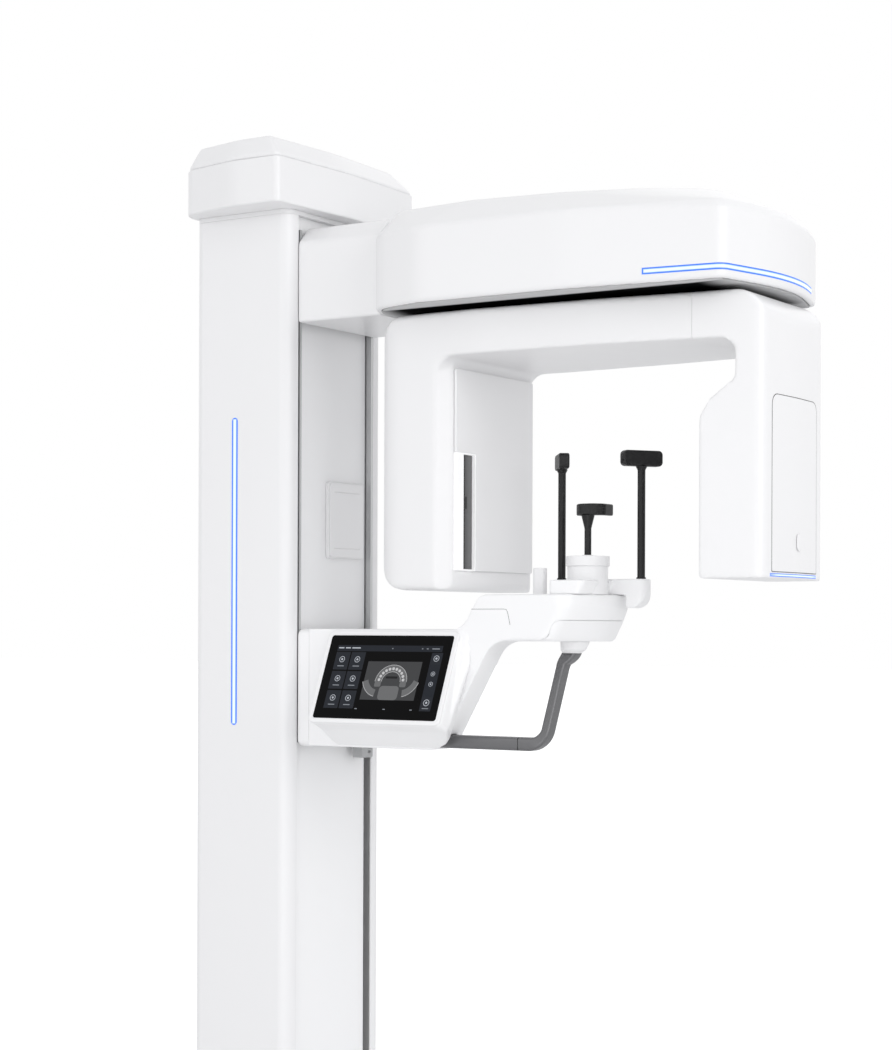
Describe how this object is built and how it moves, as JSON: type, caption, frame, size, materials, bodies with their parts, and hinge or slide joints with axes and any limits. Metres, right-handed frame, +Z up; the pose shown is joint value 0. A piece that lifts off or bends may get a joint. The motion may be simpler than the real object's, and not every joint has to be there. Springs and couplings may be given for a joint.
{
  "type": "dental ct scanner",
  "caption": "Free-standing dental cone-beam CT and panoramic X-ray unit: column, lift carriage, overhead arm, turning gantry, touchscreen console and head supports.",
  "frame": {"origin": "centre of the column on the floor", "axes": "+Z up along the column, +X from the column along the overhead arm, -Y towards the side with the touchscreen"},
  "size_m": [1.4986, 0.86, 2.3],
  "materials": {
    "white_shell": "satin white lacquered covers",
    "grey_plastic": "matte light grey",
    "blue_light": "translucent diffuser over blue lamps",
    "dark_glass": "polished black glass",
    "black_plastic": "satin black",
    "rubber": "matte black rubber",
    "machined_steel": "ground steel",
    "dark_metal": "dark painted metal",
    "handle_metal": "satin metallic grey lacquer"
  },
  "bodies": {
    "root": {"base_plate": "white_shell", "levelling_feet": "rubber", "column_shell": "white_shell", "rear_cover": "white_shell", "column_top_plate": "white_shell", "rail_panel": "white_shell", "guide_rails": "machined_steel", "lift_cylinder": "dark_metal", "cap_band": "white_shell", "cap_dome": "white_shell", "column_light": "blue_light", "remote_holder": "white_shell", "holder_cover": "white_shell", "cover_screws": "machined_steel"},
    "carriage": {"carriage_frame": "machined_steel", "lift_rod": "machined_steel", "upper_bracket": "white_shell", "bracket_collar": "white_shell", "housing_shell": "white_shell", "housing_floor": "black_plastic", "housing_light": "blue_light", "slewing_bearing": "machined_steel", "drive_motor": "dark_metal", "drive_belt": "rubber", "arm_mount": "white_shell", "arm_body": "white_shell", "arm_lower_cover": "white_shell", "screen_housing": "white_shell", "screen_bezel": "white_shell", "touch_screen": "dark_glass", "socket_box": "grey_plastic", "handle": "handle_metal", "handle_boss": "white_shell", "head_yoke": "white_shell", "turret_body": "white_shell", "laser_post": "white_shell"},
    "gantry": {"gantry_hub": "machined_steel", "hub_pulley": "machined_steel", "detector_cover": "white_shell", "generator_cover": "white_shell", "detector_panel": "white_shell", "sensor_frame": "white_shell", "sensor_glass": "dark_glass", "sensor_module": "dark_metal", "tube_head": "machined_steel", "collimator": "dark_metal", "end_panel": "white_shell", "panel_cap": "white_shell", "generator_light": "blue_light"},
    "motor_wheel": {"motor_pulley": "machined_steel"},
    "slider": {"slider_knob": "black_plastic"},
    "support_dial": {"turret_cap": "white_shell"},
    "chin_rest": {"chin_stem": "black_plastic", "chin_cup": "black_plastic"},
    "support_left": {"support_rod_left": "black_plastic", "support_pad_left": "black_plastic"},
    "support_right": {"support_rod_right": "black_plastic", "support_pad_right": "black_plastic"}
  },
  "joints": [
    {"name": "column_lift", "type": "slide", "parent": "root", "child": "carriage", "axis": [0, 0, 1], "range_m": [-0.65, 0.03]},
    {"name": "gantry_rotation", "type": "hinge", "parent": "carriage", "child": "gantry", "pos_m": [0.805, 0, 1.9], "axis": [0, 0, 1], "range_deg": [-180, 180]},
    {"name": "motor_turn", "type": "hinge", "parent": "carriage", "child": "motor_wheel", "pos_m": [1.06, 0, 1.96], "axis": [0, 0, 1], "range_deg": [-900, 900]},
    {"name": "sensor_slide", "type": "slide", "parent": "gantry", "child": "slider", "axis": [0, 0, 1], "range_m": [-0.12, 0.08]},
    {"name": "support_dial_turn", "type": "hinge", "parent": "carriage", "child": "support_dial", "pos_m": [0.805, -0.04, 1.36], "axis": [0, 0, 1], "range_deg": [0, 120]},
    {"name": "support_left_slide", "type": "slide", "parent": "carriage", "child": "support_left", "axis": [1, 0, 0], "range_m": [0, 0.024]},
    {"name": "support_right_slide", "type": "slide", "parent": "carriage", "child": "support_right", "axis": [-1, 0, 0], "range_m": [0, 0.024]},
    {"name": "chin_height", "type": "slide", "parent": "carriage", "child": "chin_rest", "axis": [0, 0, 1], "range_m": [-0.02, 0.03]}
  ],
  "couplings": [
    {"joint": "motor_turn", "follows": "gantry_rotation", "ratio": 5},
    {"joint": "support_left_slide", "follows": "support_dial_turn", "m_per_rad": 0.011459},
    {"joint": "support_right_slide", "follows": "support_dial_turn", "m_per_rad": 0.011459}
  ]
}
